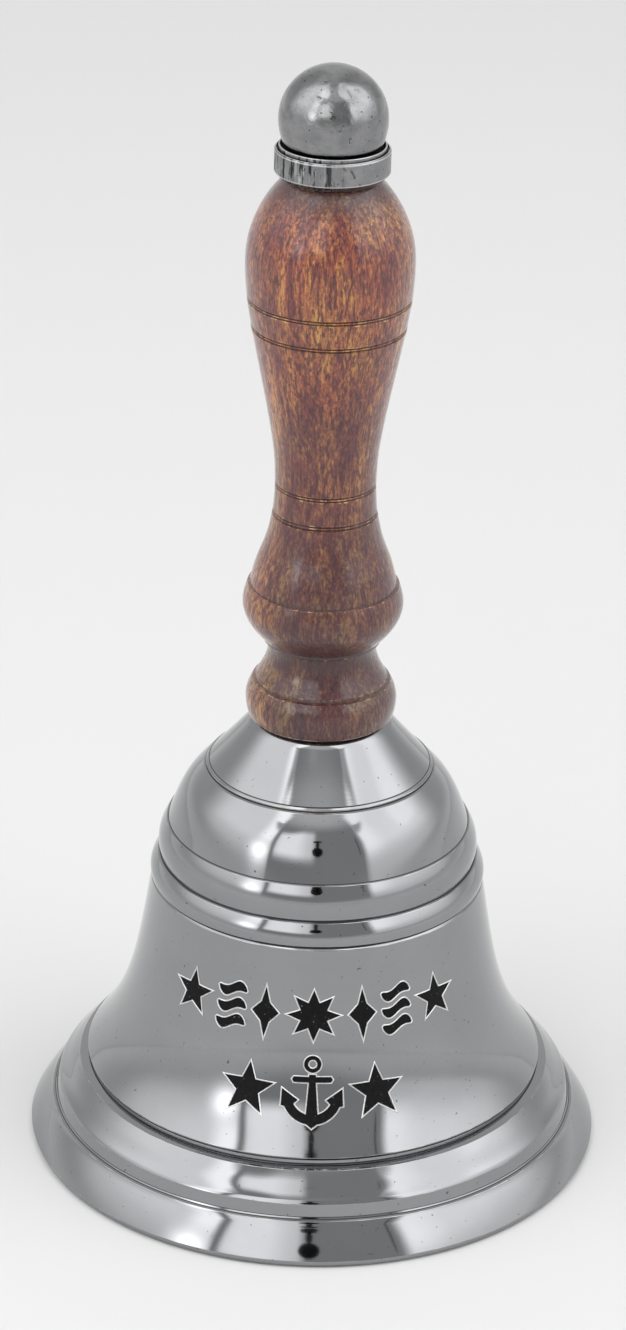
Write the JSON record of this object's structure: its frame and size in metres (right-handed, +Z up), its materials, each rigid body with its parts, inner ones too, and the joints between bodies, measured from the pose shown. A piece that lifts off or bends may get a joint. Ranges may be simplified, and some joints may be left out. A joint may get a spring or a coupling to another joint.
{
  "type": "hand bell",
  "caption": "Flared metal bell with a turned wooden handle, a ball finial on a collar, and a free-swinging clapper on a swivel inside.",
  "frame": {"origin": "centre of the bell's mouth, on the plane that the rim stands on", "axes": "+Z up the bell's axis from the mouth to the ball finial; -Y is the front, where the decoration is; +X to its right"},
  "size_m": [0.0918, 0.0918, 0.1787],
  "materials": {
    "nickel_plate": "polished nickel plate over brass",
    "worn_nickel_plate": "dull, pitted and scuffed plate",
    "turned_wood": "reddish-brown hardwood under satin varnish",
    "steel": "zinc-plated steel",
    "brass": "turned brass"
  },
  "bodies": {
    "bell": {"bell_shell": "nickel_plate", "handle_grip": "turned_wood", "finial_collar": "worn_nickel_plate", "finial_ball": "worn_nickel_plate", "tie_rod": "steel", "crown_washer": "steel", "crown_nut": "steel", "hanger_lock_nut": "steel"},
    "hanger": {"hanger_stirrup": "steel", "hanger_pin": "steel"},
    "clapper": {"clapper_shank": "brass", "clapper_ball": "brass"}
  },
  "joints": [
    {"name": "hanger_swivel", "type": "hinge", "parent": "bell", "child": "hanger", "pos_m": [0, 0, 0.0645], "axis": [0, 0, 1], "continuous": true},
    {"name": "clapper_swing", "type": "hinge", "parent": "hanger", "child": "clapper", "pos_m": [0, 0, 0.054], "axis": [0, 1, 0], "range_deg": [-32, 32]}
  ]
}
